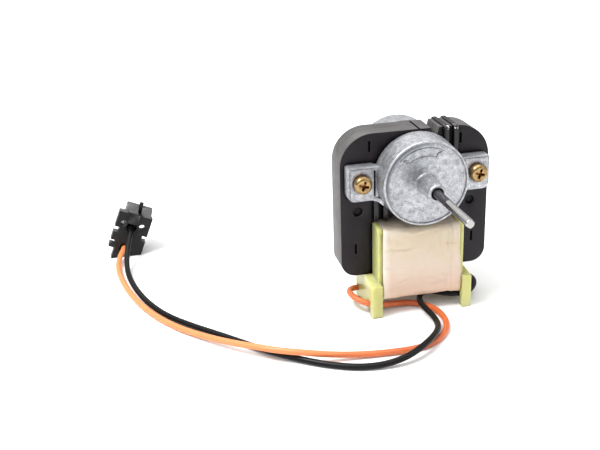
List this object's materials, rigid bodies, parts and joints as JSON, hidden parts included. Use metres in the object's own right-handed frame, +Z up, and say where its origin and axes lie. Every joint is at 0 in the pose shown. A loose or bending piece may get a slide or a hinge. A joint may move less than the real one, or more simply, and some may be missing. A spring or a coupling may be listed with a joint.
{
  "type": "shaded-pole fan motor",
  "caption": "Shaded-pole fan motor: C-shaped laminated core with shading rings, coil on a moulded bobbin, die-cast bell brackets, long shaft and a two-wire lead with a connector.",
  "frame": {"origin": "middle of the motor's footprint, on the surface that its feet stand on; the leads and connector are left out of that box", "axes": "+Z up from the feet, -Y along the shaft towards its tip, +X to the right when facing the shaft tip"},
  "size_m": [0.1511, 0.1507, 0.073],
  "materials": {
    "core_steel": "satin",
    "ring_copper": "satin",
    "bobbin_nylon": "satin",
    "winding": "glossy",
    "tape": "satin",
    "castings": "matte",
    "zinc_screw": "satin",
    "bronze": "satin",
    "felt": "matte",
    "spring_steel": "satin",
    "rotor_steel": "satin",
    "cage_metal": "satin",
    "shaft_steel": "satin",
    "washer_plastic": "matte",
    "tinned_brass": "satin",
    "orange_cover": "satin",
    "black_cover": "satin",
    "black_nylon": "satin"
  },
  "bodies": {
    "stator": {"stator_core": "core_steel", "coil_yoke": "core_steel", "bobbin": "bobbin_nylon", "coil_winding": "winding", "coil_tape": "tape", "shading_ring_upper_inner": "ring_copper", "shading_ring_upper_outer": "ring_copper", "shading_ring_lower_inner": "ring_copper", "shading_ring_lower_outer": "ring_copper", "front_bracket": "castings", "rear_bracket": "castings", "bracket_screw_left": "zinc_screw", "bracket_screw_right": "zinc_screw", "front_bearing": "bronze", "rear_bearing": "bronze", "front_oil_felt": "felt", "rear_oil_felt": "felt", "front_bearing_retainer": "spring_steel", "rear_bearing_retainer": "spring_steel", "lead_splice_left": "tinned_brass", "lead_splice_right": "tinned_brass", "orange_lead": "orange_cover", "black_lead": "black_cover", "connector_housing": "black_nylon", "connector_contact_upper": "tinned_brass", "connector_contact_lower": "tinned_brass"},
    "rotor": {"rotor_core": "rotor_steel", "rotor_cage": "cage_metal", "shaft": "shaft_steel", "front_rotor_spacer": "washer_plastic", "rear_rotor_spacer": "washer_plastic", "front_thrust_washer": "washer_plastic", "rear_thrust_washer": "washer_plastic"}
  },
  "joints": [
    {"name": "rotor_spin", "type": "hinge", "parent": "stator", "child": "rotor", "pos_m": [0, 0.0199, 0.055], "axis": [0, 1, 0], "continuous": true}
  ]
}
